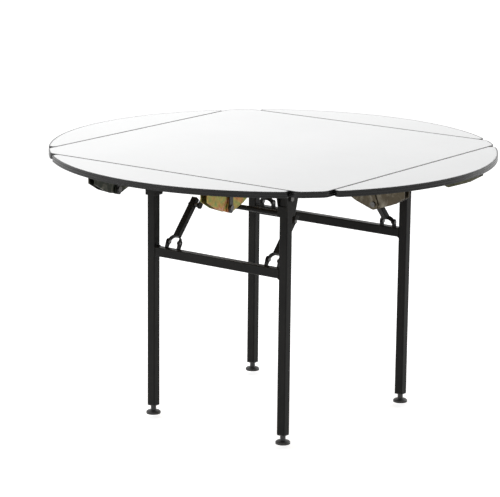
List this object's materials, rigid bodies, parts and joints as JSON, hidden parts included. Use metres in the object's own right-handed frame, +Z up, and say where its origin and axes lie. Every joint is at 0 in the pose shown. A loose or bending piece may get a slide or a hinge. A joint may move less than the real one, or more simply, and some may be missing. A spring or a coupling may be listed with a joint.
{
  "type": "round folding table",
  "caption": "Round folding banquet table with a square centre panel, hinged fold-down leaf segments, and square-tube leg frames with jointed knee braces and levelling feet.",
  "frame": {"origin": "on the floor below the middle of the top", "axes": "+Z up, +X to the right along the front crossbar, -Y towards the front leg frame"},
  "size_m": [1.22, 1.22, 0.74],
  "materials": {
    "white_laminate": "satin white laminate",
    "black_edging": "glossy ribbed edge strip",
    "board": "raw board underside",
    "yellow_zinc": "yellow passivated zinc",
    "black_foot": "moulded black plastic",
    "lever_plastic": "moulded black plastic",
    "bolt_steel": "dark plated steel",
    "black_paint": "satin black powder coat"
  },
  "bodies": {
    "top": {"centre_board": "board", "centre_laminate": "white_laminate", "centre_edging": "black_edging", "hinge_bases_front": "yellow_zinc", "hinge_bases_right": "yellow_zinc", "hinge_bases_back": "yellow_zinc", "hinge_bases_left": "yellow_zinc", "hinge_pins": "bolt_steel", "leg_brackets_front": "black_paint", "leg_brackets_rear": "black_paint", "brace_hangers_front": "black_paint", "brace_hangers_rear": "black_paint", "leg_pivot_bolts": "bolt_steel", "hanger_pins": "bolt_steel"},
    "leaf_front": {"leaf_board_front": "board", "leaf_laminate_front": "white_laminate", "leaf_edging_front": "black_edging", "leaf_arms_front": "yellow_zinc"},
    "lever_front_a": {"clamp_lever_front_a": "lever_plastic"},
    "lever_front_b": {"clamp_lever_front_b": "lever_plastic"},
    "leaf_right": {"leaf_board_right": "board", "leaf_laminate_right": "white_laminate", "leaf_edging_right": "black_edging", "leaf_arms_right": "yellow_zinc"},
    "lever_right_a": {"clamp_lever_right_a": "lever_plastic"},
    "lever_right_b": {"clamp_lever_right_b": "lever_plastic"},
    "leaf_back": {"leaf_board_back": "board", "leaf_laminate_back": "white_laminate", "leaf_edging_back": "black_edging", "leaf_arms_back": "yellow_zinc"},
    "lever_back_a": {"clamp_lever_back_a": "lever_plastic"},
    "lever_back_b": {"clamp_lever_back_b": "lever_plastic"},
    "leaf_left": {"leaf_board_left": "board", "leaf_laminate_left": "white_laminate", "leaf_edging_left": "black_edging", "leaf_arms_left": "yellow_zinc"},
    "lever_left_a": {"clamp_lever_left_a": "lever_plastic"},
    "lever_left_b": {"clamp_lever_left_b": "lever_plastic"},
    "front_frame": {"leg_tube_front_left": "black_paint", "leg_tube_front_right": "black_paint", "crossbar_front": "black_paint", "strut_bolts_front": "bolt_steel", "leg_inserts_front": "black_foot"},
    "rear_frame": {"leg_tube_rear_left": "black_paint", "leg_tube_rear_right": "black_paint", "crossbar_rear": "black_paint", "strut_bolts_rear": "bolt_steel", "leg_inserts_rear": "black_foot"},
    "front_struts": {"struts_front": "black_paint", "knee_bolts_front": "bolt_steel"},
    "rear_struts": {"struts_rear": "black_paint", "knee_bolts_rear": "bolt_steel"},
    "front_links": {"links_front": "black_paint", "tie_bar_front": "black_paint"},
    "rear_links": {"links_rear": "black_paint", "tie_bar_rear": "black_paint"},
    "foot_front_left_body": {"foot_front_left": "black_foot"},
    "foot_rear_left_body": {"foot_rear_left": "black_foot"},
    "foot_front_right_body": {"foot_front_right": "black_foot"},
    "foot_rear_right_body": {"foot_rear_right": "black_foot"}
  },
  "joints": [
    {"name": "leaf_front_fold", "type": "hinge", "parent": "top", "child": "leaf_front", "pos_m": [0, -0.4565, 0.673], "axis": [1, 0, 0], "range_deg": [0, 180]},
    {"name": "lever_front_a_turn", "type": "hinge", "parent": "top", "child": "lever_front_a", "pos_m": [-0.1669, -0.4565, 0.673], "axis": [1, 0, 0], "range_deg": [0, 60]},
    {"name": "lever_front_b_turn", "type": "hinge", "parent": "top", "child": "lever_front_b", "pos_m": [0.1991, -0.4565, 0.673], "axis": [1, 0, 0], "range_deg": [0, 60]},
    {"name": "leaf_right_fold", "type": "hinge", "parent": "top", "child": "leaf_right", "pos_m": [0.4565, 0, 0.673], "axis": [0, 1, 0], "range_deg": [0, 180]},
    {"name": "lever_right_a_turn", "type": "hinge", "parent": "top", "child": "lever_right_a", "pos_m": [0.4565, -0.1669, 0.673], "axis": [0, 1, 0], "range_deg": [0, 60]},
    {"name": "lever_right_b_turn", "type": "hinge", "parent": "top", "child": "lever_right_b", "pos_m": [0.4565, 0.1991, 0.673], "axis": [0, 1, 0], "range_deg": [0, 60]},
    {"name": "leaf_back_fold", "type": "hinge", "parent": "top", "child": "leaf_back", "pos_m": [0, 0.4565, 0.673], "axis": [-1, 0, 0], "range_deg": [0, 180]},
    {"name": "lever_back_a_turn", "type": "hinge", "parent": "top", "child": "lever_back_a", "pos_m": [0.1669, 0.4565, 0.673], "axis": [-1, 0, 0], "range_deg": [0, 60]},
    {"name": "lever_back_b_turn", "type": "hinge", "parent": "top", "child": "lever_back_b", "pos_m": [-0.1991, 0.4565, 0.673], "axis": [-1, 0, 0], "range_deg": [0, 60]},
    {"name": "leaf_left_fold", "type": "hinge", "parent": "top", "child": "leaf_left", "pos_m": [-0.4565, 0, 0.673], "axis": [0, -1, 0], "range_deg": [0, 180]},
    {"name": "lever_left_a_turn", "type": "hinge", "parent": "top", "child": "lever_left_a", "pos_m": [-0.4565, 0.1669, 0.673], "axis": [0, -1, 0], "range_deg": [0, 60]},
    {"name": "lever_left_b_turn", "type": "hinge", "parent": "top", "child": "lever_left_b", "pos_m": [-0.4565, -0.1991, 0.673], "axis": [0, -1, 0], "range_deg": [0, 60]},
    {"name": "front_fold", "type": "hinge", "parent": "top", "child": "front_frame", "pos_m": [0, -0.246, 0.666], "axis": [1, 0, 0], "range_deg": [0, 90]},
    {"name": "rear_fold", "type": "hinge", "parent": "top", "child": "rear_frame", "pos_m": [0, 0.27, 0.698], "axis": [-1, 0, 0], "range_deg": [0, 90]},
    {"name": "front_struts_turn", "type": "hinge", "parent": "front_frame", "child": "front_struts", "pos_m": [0, -0.223, 0.488], "axis": [1, 0, 0], "range_deg": [0, 41.6]},
    {"name": "rear_struts_turn", "type": "hinge", "parent": "rear_frame", "child": "rear_struts", "pos_m": [0, 0.265, 0.515], "axis": [-1, 0, 0], "range_deg": [0, 41.6]},
    {"name": "front_links_turn", "type": "hinge", "parent": "top", "child": "front_links", "pos_m": [0, -0.04517, 0.689], "axis": [-1, 0, 0], "range_deg": [0, 48.6]},
    {"name": "rear_links_turn", "type": "hinge", "parent": "top", "child": "rear_links", "pos_m": [0, 0.09867, 0.703], "axis": [1, 0, 0], "range_deg": [0, 48.6]},
    {"name": "foot_front_left_screw", "type": "slide", "parent": "front_frame", "child": "foot_front_left_body", "axis": [0, 0, 1], "range_m": [-0.012, 0]},
    {"name": "foot_rear_left_screw", "type": "slide", "parent": "rear_frame", "child": "foot_rear_left_body", "axis": [0, 0, 1], "range_m": [-0.012, 0]},
    {"name": "foot_front_right_screw", "type": "slide", "parent": "front_frame", "child": "foot_front_right_body", "axis": [0, 0, 1], "range_m": [-0.012, 0]},
    {"name": "foot_rear_right_screw", "type": "slide", "parent": "rear_frame", "child": "foot_rear_right_body", "axis": [0, 0, 1], "range_m": [-0.012, 0]}
  ],
  "couplings": [
    {"joint": "rear_fold", "follows": "front_fold", "ratio": 1},
    {"joint": "front_struts_turn", "follows": "front_fold", "ratio": 0.4611},
    {"joint": "rear_struts_turn", "follows": "front_fold", "ratio": 0.4611},
    {"joint": "front_links_turn", "follows": "front_fold", "ratio": 0.5389},
    {"joint": "rear_links_turn", "follows": "front_fold", "ratio": 0.5389}
  ]
}
